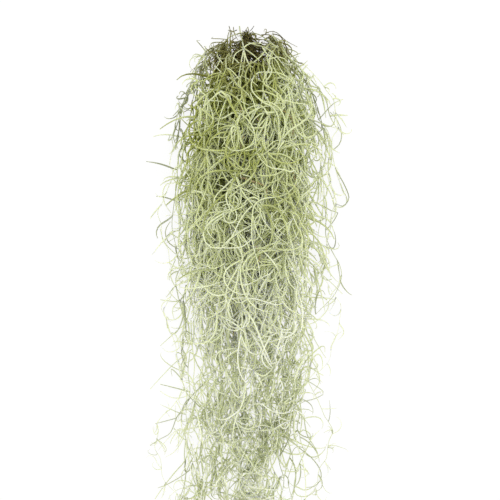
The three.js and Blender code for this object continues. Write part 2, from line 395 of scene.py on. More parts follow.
def shoot_tree():
    """Stem paths in, shoots out: each path becomes a stem with leaves at every joint.

    A leaf starts along its heading and turns towards its bend, evenly or in a hook at its end,
    with a slow coil to one side and a wobble, so that no two lie alike.
    """
    tree = bpy.data.node_groups.new("moss_shoots", "GeometryNodeTree")
    for name, kind in SHOOT_INPUTS.items():
        tree.interface.new_socket(name, in_out="INPUT", socket_type="NodeSocket" + kind)
    tree.interface.new_socket("Geometry", in_out="OUTPUT", socket_type="NodeSocketGeometry")
    node = partial(add, tree)
    given = node("NodeGroupInput").outputs

    # what the stems tell their leaves, and the random draws of each leaf
    told = {}
    for name in (*Spot._fields[1:], "along"):
        kind = "FLOAT_VECTOR" if name in ("outward", "along") else "FLOAT"
        told[name] = node("GeometryNodeInputNamedAttribute", (name,), data_type=kind)
    position = node("GeometryNodeInputPosition")
    any_way = ((-CHANCE,) * 3, (CHANCE,) * 3)
    ranges = {
        "heading": any_way,
        "bend": any_way,
        "length": (0.45, 1.25),
        "curl": (given["Least curl"], given["Most curl"]),
        "coil": (-0.7, 0.7),
        "wobble": (-0.45, 0.45),
        "width": (0.4, 0.58),
        "tone": (-0.18, 0.18),
        "leaves": (0.45, 1.55),
        "phase": (0.0, TAU),
        "hook": (0.0, 1.0),
    }
    drawn = {}
    for number, (name, (least, most)) in enumerate(ranges.items(), start=1):
        seed = node(MATH, (given["Seed"], number), "ADD")
        kind = "FLOAT_VECTOR" if isinstance(least, tuple) else "FLOAT"
        limits = {"Min": least, "Max": most, "Seed": seed}
        drawn[name] = node("FunctionNodeRandomValue", limits, data_type=kind)
    looser = node(MATH, (told["loose"], 1.0), "ADD")
    away = node(MATH, (given["Hug"], -1.0), "MULTIPLY")

    def drift(number, own):
        """A direction that neighbours share, with some chance of its own for each leaf."""
        place = node(VECTOR_MATH, (position, (number, 0, 0)), "ADD")
        apart = node(MATH, (given["Seed"], LOCK_SEED), "MULTIPLY")
        field = node(
            "ShaderNodeTexNoise",
            {"Vector": place, "W": apart, "Scale": 1 / LOCK, "Detail": 0.0},
            noise_dimensions="4D",
        ).outputs["Color"]
        shared = node(VECTOR_MATH, (field, (FLOW,) * 3, (-FLOW / 2,) * 3), "MULTIPLY_ADD")
        strayed = node(VECTOR_MATH, (own, looser), "SCALE")
        return node(VECTOR_MATH, (shared, strayed), "ADD")

    def hugged(way):
        """A direction that leads less far out of the bunch."""
        out = node(VECTOR_MATH, (way, told["outward"]), "PROJECT")
        return node(VECTOR_MATH, (out, away, way), "MULTIPLY_ADD")

    def tube(curve, radius, sides):
        """A closed round tube around a curve."""
        ring = node("GeometryNodeCurvePrimitiveCircle", {"Resolution": sides, "Radius": 1.0})
        inputs = {"Curve": curve, "Profile Curve": ring, "Scale": radius, "Fill Caps": True}
        return node("GeometryNodeCurveToMesh", inputs)

    # stems
    paths = node("GeometryNodeMeshToCurve", {"Mesh": given["Geometry"]})
    smooth = node("GeometryNodeCurveSplineType", {"Curve": paths}, spline_type="CATMULL_ROM")
    stems = node("GeometryNodeResampleCurve", {"Curve": smooth, "Length": STEM_STEP}, mode="LENGTH")
    run = node("GeometryNodeSplineParameter").outputs["Factor"]
    radius = node(MAP_RANGE, (run, TAPER_FROM, 1.0, *STEM_RADII))
    for share in (told["girth"], given["Stem width"]):
        radius = node(MATH, (radius, share), "MULTIPLY")
    stem_mesh = tube(stems, radius, STEM_SIDES)

    # one point for each leaf
    spacing = {"Curve": smooth, "Length": given["Joint spacing"]}
    joints = node("GeometryNodeCurveToPoints", spacing, mode="LENGTH")
    along = {"Geometry": joints, "Name": "along", "Value": joints.outputs["Tangent"]}
    led = node("GeometryNodeStoreNamedAttribute", along, data_type="FLOAT_VECTOR")
    amount = given["Leaves per joint"]
    for share in (told["density"], drawn["leaves"]):
        amount = node(MATH, (amount, share), "MULTIPLY")
    amount = node(MATH, (amount,), "ROUND")
    roots = node("GeometryNodeDuplicateElements", {"Geometry": led, "Amount": amount}, domain="POINT")

    # how each leaf grows
    curlier = node(MATH, (told["loose"], LOOSE_CURLS, 1.0), "MULTIPLY_ADD")
    free = node(MATH, (told["loose"], -LOOSE_STRAYS, 1.0), "MULTIPLY_ADD")
    follow = node(MATH, (given["Along"], free), "MULTIPLY")
    droop = node(MATH, (given["Tailward"], free), "MULTIPLY")
    lean = node(VECTOR_MATH, (told["along"], follow, drift(1, drawn["heading"])), "MULTIPLY_ADD")
    leant = (told["outward"], given["Outward"], hugged(lean))
    heading = node(VECTOR_MATH, leant, "MULTIPLY_ADD")
    heading = node(VECTOR_MATH, (heading,), "NORMALIZE")
    wish = node(VECTOR_MATH, (tuple(TAILWARD), droop, drift(2, drawn["bend"])), "MULTIPLY_ADD")
    wish = hugged(wish)
    ahead = node(VECTOR_MATH, (wish, heading), "PROJECT")
    bend = node(VECTOR_MATH, (wish, ahead), "SUBTRACT")
    bend = node(VECTOR_MATH, (bend,), "NORMALIZE")
    length = node(MATH, (told["reach"], drawn["length"]), "MULTIPLY")
    length = node(MATH, (given["Leaf length"], length), "MULTIPLY")
    thinner = node(MATH, (told["loose"], 0.0), "MAXIMUM")
    slender = node(MATH, (told["girth"], LEAF_GIRTH[1], LEAF_GIRTH[0]), "MULTIPLY_ADD")
    slender = node(MATH, (thinner, -LOOSE_THINS, slender), "MULTIPLY_ADD")
    facts = {
        "root": position,
        "heading": heading,
        "bend": bend,
        "side": node(VECTOR_MATH, (heading, bend), "CROSS_PRODUCT"),
        "outward": told["outward"],
        "step": node(MATH, (length, LEAF_POINTS - 1.0), "DIVIDE"),
        "arc": node(MATH, (drawn["curl"], curlier), "MULTIPLY"),
        **{name: drawn[name] for name in ("coil", "wobble", "phase", "hook")},
        "width": node(MATH, (drawn["width"], slender), "MULTIPLY"),
        "depth": told["depth"],
        "tone": node(MATH, (drawn["tone"], looser, told["tone"]), "MULTIPLY_ADD"),
    }
    grown = node("GeometryNodeCaptureAttribute", {"Geometry": roots}, domain="POINT")
    for name, value in facts.items():
        kind = "VECTOR" if outlet(value).type == "VECTOR" else "FLOAT"
        grown.capture_items.new(kind, name)
    fill(tree, grown, facts)
    fact = grown.outputs

    # the leaves: each is a line whose points walk along its curl, one step after the other
    line = node("GeometryNodeCurvePrimitiveLine")
    blank = node("GeometryNodeResampleCurve", {"Curve": line, "Count": LEAF_POINTS})
    placed = node("GeometryNodeInstanceOnPoints", {"Points": fact["Geometry"], "Instance": blank})
    leaves = node("GeometryNodeRealizeInstances", {"Geometry": placed})
    counted = node("GeometryNodeCurveOfPoint").outputs
    reach = node(MATH, (counted["Index in Curve"], LEAF_POINTS - 1.0), "DIVIDE")
    ahead = node(MATH, (reach, 0.5 / (LEAF_POINTS - 1)), "ADD")
    hooked = node(MATH, (ahead, HOOK_POWER), "POWER")
    hooked = node(MATH, (hooked, ahead), "SUBTRACT")
    turned = node(MATH, (fact["hook"], hooked, ahead), "MULTIPLY_ADD")
    wave = node(MATH, (ahead, TAU, fact["phase"]), "MULTIPLY_ADD")
    wave = node(MATH, (wave,), "SINE")
    wave = node(MATH, (wave, fact["wobble"]), "MULTIPLY")
    turn = node(MATH, (fact["arc"], turned, wave), "MULTIPLY_ADD")
    forward = node(MATH, (turn,), "COSINE")
    forward = node(VECTOR_MATH, (fact["heading"], forward), "SCALE")
    bent = node(MATH, (turn,), "SINE")
    way = node(VECTOR_MATH, (fact["bend"], bent, forward), "MULTIPLY_ADD")
    coiled = node(MATH, (ahead, fact["coil"]), "MULTIPLY")
    way = node(VECTOR_MATH, (fact["side"], coiled, way), "MULTIPLY_ADD")
    pace = node(VECTOR_MATH, (way, fact["step"]), "SCALE")
    steps = {"Value": pace, "Group ID": counted["Curve Index"]}
    walked = node("GeometryNodeAccumulateField", steps, data_type="FLOAT_VECTOR").outputs["Trailing"]
    spot = node(VECTOR_MATH, (fact["root"], walked), "ADD")

    # shade, width and height of the leaves
    climbed = node(VECTOR_MATH, (walked, fact["outward"]), "DOT_PRODUCT")
    climbed = node(MATH, (climbed, -DEPTH_REACH), "DIVIDE")
    deep = node(MATH, (climbed, fact["depth"]), "ADD", use_clamp=True)
    taper = node(MAP_RANGE, (reach, TAPER_FROM, 1.0, given["Leaf width"], given["Tip width"]))
    leaf_radius = node(MATH, (taper, fact["width"]), "MULTIPLY")
    x, y, z = node("ShaderNodeSeparateXYZ", (spot,)).outputs
    proud = node(MATH, (z, given["Sag height"]), "SUBTRACT")
    proud = node(MATH, (proud, 0.0), "MAXIMUM")
    sunk = node(MATH, (proud, -SAG, z), "MULTIPLY_ADD")
    height = node(MATH, (sunk, leaf_radius), "MAXIMUM")
    for name, value in (("depth", deep), ("tone", fact["tone"])):
        stored = {"Geometry": leaves, "Name": name, "Value": value}
        leaves = node("GeometryNodeStoreNamedAttribute", stored, data_type="FLOAT")
    rest = node("ShaderNodeCombineXYZ", (x, y, height))
    curled = node("GeometryNodeSetPosition", {"Geometry": leaves, "Position": rest})
    leaf_mesh = tube(curled, leaf_radius, LEAF_SIDES)

    # together
    whole = node("GeometryNodeJoinGeometry", (stem_mesh,))
    fill(tree, whole, (leaf_mesh,))
    solid = node("GeometryNodeRealizeInstances", {"Geometry": whole})
    rounded = node("GeometryNodeSetShadeSmooth", {"Geometry": solid})
    painted = node("GeometryNodeSetMaterial", {"Geometry": rounded, "Material": given["Material"]})
    node("NodeGroupOutput", {"Geometry": painted})
    return tree


SAG_HEIGHT = 68 * MM


class Growth(NamedTuple):
    """How densely and how loosely a lock grows."""

    stems: int = 5  # in one festoon
    joint: float = 22 * MM  # between two joints
    leaves: int = 2  # at a joint
    leaf: float = 50 * MM  # length of a usual leaf
    curl: tuple = (0.5, 3.3)  # radians that a leaf turns through, from the least to the most
    along: float = 1.4  # how far leaves follow their stem
    outward: float = 0.1  # how far leaves lean out of the bunch
    hug: float = 0.65  # share of their way out of the bunch that leaves lose to their neighbours
    tailward: float = 1.2  # how far they droop towards the tail
    wild: float = 1.0  # how far stems wander
    spread: float = 1.2  # of the stems, as a share of the festoon's own half width
    shortest: float = 0.8  # the shortest stem, as a share of the festoon's length
    longest: float = 1.03
    rooted: bool = True  # the stems come from the knot, not from the festoon's own end
    parting: float = 24 * MM  # how far the middle stems start below the knot
    tones: tuple = (0.1, 0.7)  # from shaded to pale
    girths: tuple = (0.75, 1.05)  # thickness of the stems, as a share of the full one


class Spot(NamedTuple):
    """A place on a stem, with what the leaves that grow there need to know."""

    point: Vector
    outward: Vector  # way out of the bunch
    depth: float  # below the skin of the bunch, from 0 to 1
    density: float  # of the leaves, as a share of the usual number at a joint
    loose: float  # from below 0, in long sweeps down the bunch, to 1, thin and every which way
    reach: float  # length of the leaves, as a share of a full one
    tone: float  # from shaded to pale
    girth: float  # of the stem, as a share of its full width


def rows_across(nodes, step):
    """The vertices of some nodes in (place along Y, points) rows, from the tail to the crown."""
    rows = {}
    for node in nodes:
        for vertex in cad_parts[node].data.vertices:
            rows.setdefault(round(vertex.co.y / step), []).append(vertex.co)
    return [(row * step, rows[row]) for row in sorted(rows)]


def extent(points, axis):
    """(middle, half length) of some points along an axis."""
    values = [point[axis] for point in points]
    return (min(values) + max(values)) / 2, (max(values) - min(values)) / 2


def between(rows, y):
    """The measures at a place along Y, from rows that start with their own place."""
    before = max((row for row in rows if row[0] <= y), default=rows[0])
    after = min((row for row in rows if row[0] >= y), default=rows[-1])
    gap = after[0] - before[0]
    share = (y - before[0]) / gap if gap else 0.0
    return [a + (b - a) * share for a, b in zip(before[1:], after[1:])]


OUTLINE_STEP = 10 * MM
RAGGED = 40  # a row with no more points than this belongs to the ragged ends
OUTLINE = [
    (y, *extent(points, 0), max(point.z for point in points))
    for y, points in rows_across([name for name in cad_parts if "festoon" in name], OUTLINE_STEP)
    if len(points) > RAGGED
]
RING_STEP = 0.01 * MM  # the points of one ring lie closer together than this


def outline_at(y):
    """(middle, half width, height) of the bunch at a place along Y."""
    return between(OUTLINE, y)


def lock_rings(node):
    """(place along Y, middle, half width, middle height, half height) of a festoon's rings."""
    rows = rows_across([node], RING_STEP)
    return [(y, *extent(points, 0), *extent(points, 2)) for y, points in rows]


def wander(rng, waves):
    """A smooth random function of distance: a sum of (wavelength, height) waves."""
    parts = [(TAU / wavelength, height, rng.uniform(0, TAU)) for wavelength, height in waves]
    return lambda run: sum(height * math.sin(rate * run + phase) for rate, height, phase in parts)


# Zones of the bunch: each share leads from 0 outside the zone to 1 inside it.

KNOT_GAP = 3 * MM  # the knot stays in sight around this place across the bunch


def tail_share(y):
    """0 in the body of the bunch, 1 in the tail."""
    return ramp(y, 60 * MM, -60 * MM)


def sweep_share(y):
    """1 low in the body, where leaves hang in long sweeps, 0 above and in the tail."""
    return ramp(y, 150 * MM, 90 * MM) * ramp(y, -10 * MM, 50 * MM)


def upper_share(y):
    """0 in the lower half of the body and in the tail, 1 above."""
    return ramp(y, 110 * MM, 190 * MM)


def crown_share(y):
    """0 in the body of the bunch, 1 at the knot."""
    return ramp(y, 205 * MM, 245 * MM)


def shoulder_share(x):
    """0 where the knot stays in sight, 1 beside it."""
    return ramp(abs(x - KNOT_GAP), 16 * MM, 28 * MM)


def flank_share(point):
    """0 in the middle of the bunch, 1 at its edge."""
    middle, half, _ = outline_at(point.y)
    return ramp(abs(point.x - middle) / half, 0.5, 1.0)


AXIS_HEIGHT = 0.25  # the bunch is round about an axis at this share of its height
LIFT_OUTWARD = 0.35  # what lies on a surface grows away from it
CROWN_LOOSE = 0.75  # how loose leaves lie at the crown, against the tail
SWEEP_CALM = 0.4  # and how much calmer they lie low in the body
CLUMP = 26 * MM  # from one thick place to the next
CLUMPING = (1.8, 0.6)  # how strongly leaves grow in clumps, in the body and in the tail
TAIL_THINS = 0.4  # share of its leaves that the tail lacks where it starts
TAIL_FILLS = 0.65  # and what its end has more
FLANK_THINS = 0.45
SHOULDER_FILLS = 1.5
KNOT_THINS = 0.7
FLANK_PAINTED_LIGHT = 0.6  # painted light: the flanks are paler than the middle
SIDE_PAINTED_LIGHT = 10.0  # painted light from the right: the right of the bunch is paler than the left, by this much for a metre
SIDE_MIDDLE = 4 * MM
INNER_PAINTED_LIGHT = 0.75  # painted light: low in the body, the inside is paler than the skin
SWEEP_PAINTED_SHADE = -0.1  # painted shade: and the skin a little darker than elsewhere
FLANK_GIRTH = 0.25  # share of their thickness that stems lack at the flanks
CROWN_GIRTH = 0.3  # and at the crown
FLANK_REACH = 0.2  # share of their length that leaves lack at the flanks, twice as much above
CROWN_REACH = 0.45  # at the crown
TAIL_REACH = 0.25  # and in the tail


def surroundings(point):
    """(way out of the bunch, depth below its skin from 0 to 1) at a point."""
    middle, half, height = outline_at(point.y)
    rise = (point.z - AXIS_HEIGHT * height) / ((1 - AXIS_HEIGHT) * height)
    flat = Vector(((point.x - middle) / half, 0, rise))
    outward = (flat.normalized() + LIFT_OUTWARD * UP).normalized()
    return outward, min(max(1 - flat.length, 0.0), 1.0)


def looseness(y):
    """How loosely leaves lie: in long sweeps low in the body, every which way at both ends."""
    return max(tail_share(y), CROWN_LOOSE * crown_share(y)) - SWEEP_CALM * sweep_share(y)


def leaf_density(point):
    """Leaves grow in clumps, few over the knot, and thin out towards the flanks and the tail."""
    tail, crown = tail_share(point.y), crown_share(point.y)
    clumping = CLUMPING[0] + (CLUMPING[1] - CLUMPING[0]) * tail
    clump = 1.0 + clumping * noise.noise(point / CLUMP)
    length = 1.0 - TAIL_THINS * ramp(point.y, 60 * MM, 0)
    length += TAIL_FILLS * ramp(point.y, -10 * MM, -100 * MM)
    flank = 1.0 - FLANK_THINS * flank_share(point) * (1 - crown) * (1 - tail)
    over_knot = ramp(point.z, 10 * MM, 22 * MM)
    top = 1.0 + crown * (SHOULDER_FILLS * shoulder_share(point.x) - KNOT_THINS * over_knot)
    return max(clump, 0.1) * length * flank * top


def make_stem(rng, path, growth, leaves=None):
    """A stem along a path, with as many leaves as its places in the bunch bear, or as given."""
    own_tone, full = rng.uniform(*growth.tones), rng.uniform(*growth.girths)
    spots = []
    for point in path:
        outward, depth = surroundings(point)
        flank, crown, tail = flank_share(point), crown_share(point.y), tail_share(point.y)
        upper, sweep = upper_share(point.y), sweep_share(point.y)
        # painted light and shade on each stem's own tone: paler flanks, a paler right side and, low in the
        # body, a paler inside under a darker skin
        tone = own_tone + FLANK_PAINTED_LIGHT * flank * (1 - max(crown, tail))
        tone += SIDE_PAINTED_LIGHT * (point.x - SIDE_MIDDLE) * upper
        tone += (SWEEP_PAINTED_SHADE + INNER_PAINTED_LIGHT * depth) * sweep
        girth = full * (1 - FLANK_GIRTH * flank) * (1 - CROWN_GIRTH * crown)
        reach = 1 - max(FLANK_REACH * (1 + upper) * flank, CROWN_REACH * crown, TAIL_REACH * tail)
        density = leaf_density(point) if leaves is None else leaves
        loose = looseness(point.y)
        spots.append(Spot(point, outward, depth, density, loose, reach, tone, girth))
    return spots


WANDER = ((170 * MM, 4 * MM), (80 * MM, 4.5 * MM), (41 * MM, 3.2 * MM), (23 * MM, 1.8 * MM))
LOOPING = ((96 * MM, 10 * MM), (52 * MM, 7 * MM))  # back and forth along the bunch
LOOPING_FROM = 70 * MM  # the loops have their full size from here on
PATH_STEP = 5 * MM
CROWN = Vector((2 * MM, 263 * MM, 12 * MM))  # where all stems come together
CROWN_SIZE = 3 * MM
ROOT_LEAN = (0.4, 0.3)  # how far a stem's root lies aside and up, towards its own festoon
AHEAD = (-4 * MM, 20 * MM)  # from the end of a festoon to where stems that aren't rooted start
HELD = 25 * MM  # stems are held together over this length
DOME_LENGTH = 24 * MM  # over which they spread from the crown to their own festoons
CLIMB = (30 * MM, 75 * MM)  # over which they climb from the knot to their height
PARTING_REACH = 30 * MM  # how far from the middle of the knot the stems are parted
TAIL_SPREAD = 0.4  # how much wider the tail's stems spread


def lock_stem(rng, rings, growth, thickness):
    """A stem that leaves the knot, then wanders and loops down a festoon inside its cell."""
    home = Vector((rng.uniform(-1, 1), rng.uniform(-1, 1))) * growth.spread
    sideways, upwards, lengthways = (wander(rng, waves) for waves in (WANDER, WANDER, LOOPING))
    end_y, end_x, _, end_z, _ = rings[-1]
    root = CROWN + Vector([rng.uniform(-CROWN_SIZE, CROWN_SIZE) for _ in range(3)])
    root += Vector((ROOT_LEAN[0] * end_x, 0, ROOT_LEAN[1] * end_z))
    start = end_y + rng.uniform(*AHEAD)
    if growth.rooted:
        parted = 1 - (end_x - KNOT_GAP) ** 2 / PARTING_REACH ** 2
        start = root.y - max(parted, 0.0) * growth.parting
    length = (start - rings[0][0]) * rng.uniform(growth.shortest, growth.longest)
    climb = rng.uniform(*CLIMB)
    path = []
    for i in range(int(length / PATH_STEP)):
        run = i * PATH_STEP
        y = start - run
        from_crown = CROWN.y + CROWN_SIZE - start + run
        held = min(1.0, run / HELD)
        loose = growth.wild * held
        middle, half, rise, tall = between(rings[1:-1], y)
        half *= 1 + TAIL_SPREAD * tail_share(y)
        fan = math.sqrt(min(from_crown / DOME_LENGTH, 1.0))
        climbed = eased(min(from_crown / climb, 1.0))
        x = root.x + (middle + half * home.x - root.x) * fan + loose * sideways(run)
        z = root.z + (rise + tall * home.y - root.z) * climbed + loose * upwards(run)
        y += loose * held * min(1.0, run / LOOPING_FROM) * lengthways(run)
        path.append(Vector((x, y, max(z, thickness))))
    return make_stem(rng, path, growth)


def paths_mesh(name, stems):
    """All stems of a piece as one mesh of edges, with what their leaves need at each point."""
    spots = [spot for stem in stems for spot in stem]
    edges = []
    first = 0
    for stem in stems:
        edges += [(i, i + 1) for i in range(first, first + len(stem) - 1)]
        first += len(stem)
    mesh = bpy.data.meshes.new(name)
    mesh.from_pydata([spot.point for spot in spots], edges, [])
    ways = [axis for spot in spots for axis in spot.outward]
    mesh.attributes.new("outward", "FLOAT_VECTOR", "POINT").data.foreach_set("vector", ways)
    for fact in Spot._fields[2:]:
        values = [getattr(spot, fact) for spot in spots]
        mesh.attributes.new(fact, "FLOAT", "POINT").data.foreach_set("value", values)
    return mesh


def grow(name, stems, growth, material, seed):
    """Runs the shoot tree on some stems and returns the finished piece as a plain mesh object."""
    shoots = bpy.context.scene.moss_shoots
    tree = bpy.data.node_groups.get("moss_shoots") or shoot_tree()
    seedling = bpy.data.objects.new(name + "_paths", paths_mesh(name + "_paths", stems))
    bpy.context.scene.collection.objects.link(seedling)
    modifier = seedling.modifiers.new("shoots", "NODES")
    modifier.node_group = tree
    values = {
        "Stem width": shoots.stem_width,
        "Leaf width": shoots.leaf_width,
        "Tip width": shoots.tip_width,
        "Leaf length": growth.leaf,
        "Joint spacing": growth.joint,
        "Leaves per joint": growth.leaves,
        "Least curl": growth.curl[0],
        "Most curl": growth.curl[1],
        "Along": growth.along,
        "Outward": growth.outward,
        "Hug": growth.hug,
        "Tailward": growth.tailward,
        "Sag height": SAG_HEIGHT,
        "Seed": seed,
        "Material": material,
    }
    for socket in tree.interface.items_tree:
        if socket.in_out == "INPUT" and socket.name in values:
            modifier[socket.identifier] = values[socket.name]
    depsgraph = bpy.context.evaluated_depsgraph_get()
    mesh = bpy.data.meshes.new_from_object(seedling.evaluated_get(depsgraph), depsgraph=depsgraph)
    bpy.data.objects.remove(seedling)
    mesh.name = name
    piece = bpy.data.objects.new(name, mesh)
    bpy.context.scene.collection.objects.link(piece)
    return piece


def hand_in(piece, node):
    """The piece rides on the bunch and stands for its node, which is hidden."""
    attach(piece, "root")
    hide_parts(node)


OUTERMOST = 60 * MM  # a festoon this far from the middle has the fewest stems
FEWER_STEMS = 0.3


class FestoonLayer:
    """Grows the shoots of every festoon in one layer."""

    layer = ""
    growth = Growth()
    slot = "moss_green"

    def execute(self, context):
        shoots = context.scene.moss_shoots
        nodes = sorted(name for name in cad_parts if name.startswith(self.layer))
        if not nodes:
            raise RuntimeError(f"the frame has no {self.layer} nodes")
        for node in nodes:
            rng = random.Random(f"{node} {shoots.seed}")
            rings = lock_rings(node)
            flank = abs(rings[(len(rings) - 1) // 2][1]) / OUTERMOST
            stems = [
                lock_stem(rng, rings, self.growth, shoots.stem_width)
                for _ in range(round(self.growth.stems * (1 - FEWER_STEMS * flank * flank)))
            ]
            piece = grow("moss_" + node, stems, self.growth, live_skin(), rng.randrange(10000))
            hand_in(piece, node)
        return {"FINISHED"}


class MOSS_OT_base_festoons(FestoonLayer, bpy.types.Operator):
    """Festoons of the base layer, pressed flat where they lie"""

    bl_idname = "moss.base_festoons"
    bl_label = "Base festoons"
    layer = "base_festoon"
    growth = Growth(stems=7, shortest=0.75, longest=1.04, tones=(0.15, 0.7))


class MOSS_OT_core_festoons(FestoonLayer, bpy.types.Operator):
    """Older festoons in the middle of the bunch, darker partly for their age and partly as painted shade
    of the inside
    """

    bl_idname = "moss.core_festoons"
    bl_label = "Core festoons"
    layer = "core_festoon"
    slot = "moss_old"
    growth = Growth(stems=4, shortest=0.45, longest=0.8, tones=(0.0, 0.5), girths=(1.2, 1.7))


class MOSS_OT_upper_festoons(FestoonLayer, bpy.types.Operator):
    """Festoons that hang over the core"""

    bl_idname = "moss.upper_festoons"
    bl_label = "Upper festoons"
    layer = "upper_festoon"
    growth = Growth(shortest=0.5, longest=0.92, wild=1.3, curl=(0.9, 3.3))


class MOSS_OT_crown_festoons(FestoonLayer, bpy.types.Operator):
    """The short festoons on top, which start at the crown"""

    bl_idname = "moss.crown_festoons"
    bl_label = "Crown festoons"
    layer = "crown_festoon"
    growth = Growth(stems=4, shortest=0.6, wild=1.5, curl=(0.9, 3.5), tones=(0.15, 0.75))


class MOSS_OT_tail_festoons(FestoonLayer, bpy.types.Operator):
    """The festoons that end the tail"""

    bl_idname = "moss.tail_festoons"
    bl_label = "Tail festoons"
    layer = "tail_festoon"
    growth = Growth(leaf=28 * MM, rooted=False, shortest=0.65, longest=0.97)


# ---- Single strands --------------------------------------------------------------------------

VIEW_PIXELS = 500  # both ways
PIXEL = VIEW_HEIGHT / VIEW_PIXELS

# Each strand is listed: its height over the skin of the bunch in mm, its leaves, where 1
# is the usual number at a joint, and the pixels of the view that it passes, counted from the
# upper left.
CROWN_ARCHES = (
    (6, 0, (239.5, 26), (240.6, 34), (243.5, 48), (241.7, 59), (240, 69), (238.5, 79)),
    (6, 0, (243.5, 48), (250, 43.5), (262, 43.5)),
    (6, 0, (243.5, 48), (237.5, 46.5), (229.5, 49), (226, 53)),
    (6, 0, (243.5, 48), (252.7, 54.4), (259, 60.5)),
    (6, 0, (243.5, 48), (246, 58), (249.5, 65), (253, 67.5)),
    (6, 0, (243, 49), (235, 54.5), (232.5, 64)),
    (6, 0, (243, 49), (244.5, 60), (243, 70)),
    (5, 0, (220.5, 47), (229, 37.5), (241, 33), (255.6, 33.5), (263.4, 37), (271, 44), (279, 53)),
    (5, 0, (222, 50), (231, 43), (243, 41.5), (254, 44.5), (266, 48), (276, 56), (284, 66)),
    (4, 0, (214, 56), (222, 54), (232, 57), (240, 64), (245, 73)),
    (4, 0, (228, 42), (222, 52), (219, 63), (213, 72), (210, 82)),
    (4, 0, (262, 47), (268, 55), (276, 60), (281, 70), (288, 80)),
    (4, 0, (268, 46), (262, 55), (254, 62), (246, 66), (238, 72)),
    (4, 0, (219.4, 47.5), (225, 53.3), (234.3, 59), (241.2, 65.9)),
    (4, 0, (215.3, 53.3), (222.8, 63.6), (229.7, 70.5), (234.3, 77.4)),
    (4, 0.3, (273.3, 48.7), (269.9, 57.9), (268.7, 68.2), (265.9, 77.4), (267.6, 86.6)),
    (5, 0, (271, 72.8), (261.8, 72.2), (256, 74), (252, 80.8), (251.5, 88.9), (256, 95.8), (267.6, 103.8),
     (275.6, 107.2), (280.2, 108.4)),
    (5, 0, (250.4, 93.5), (253.8, 102.7), (255.5, 111.8), (250.4, 121)),
    (5, 0, (234, 79.7), (226, 77.5), (220.5, 79.7), (212.5, 84.3)),
    (5, 0, (234, 79.7), (227.4, 85.4), (215.9, 88.9), (208, 89)),
    (5, 0, (234, 79.7), (232.6, 88.9), (229.7, 98), (229.7, 105), (236.6, 110.7), (248, 110.5)),
    (5, 0, (234, 79.7), (241, 76), (249.5, 79.7), (258, 86)),
    (5, 0, (234, 79.7), (239, 87), (247, 93), (252, 101)),
    (4, 0, (212, 62), (217, 68), (226, 76), (236, 79.5)),
    (5, 0, (232, 88.9), (225, 102.7), (219.4, 118.7), (217.6, 129), (219.4, 137), (218, 147)),
    (4, 0, (213.6, 91.2), (218.2, 100.4), (217, 109.5), (211.3, 117.6)),
    (5, 0, (262, 72), (275, 72.5), (286, 76), (294, 84)),
    (5, 0, (268, 60), (277, 57), (286, 60), (291, 68)),
    (5, 0, (203, 101), (213, 100.5), (222, 101.5)),
    (5, 0, (200, 92), (209, 89.5), (219, 90.5), (228, 92.5), (234, 96)),
)
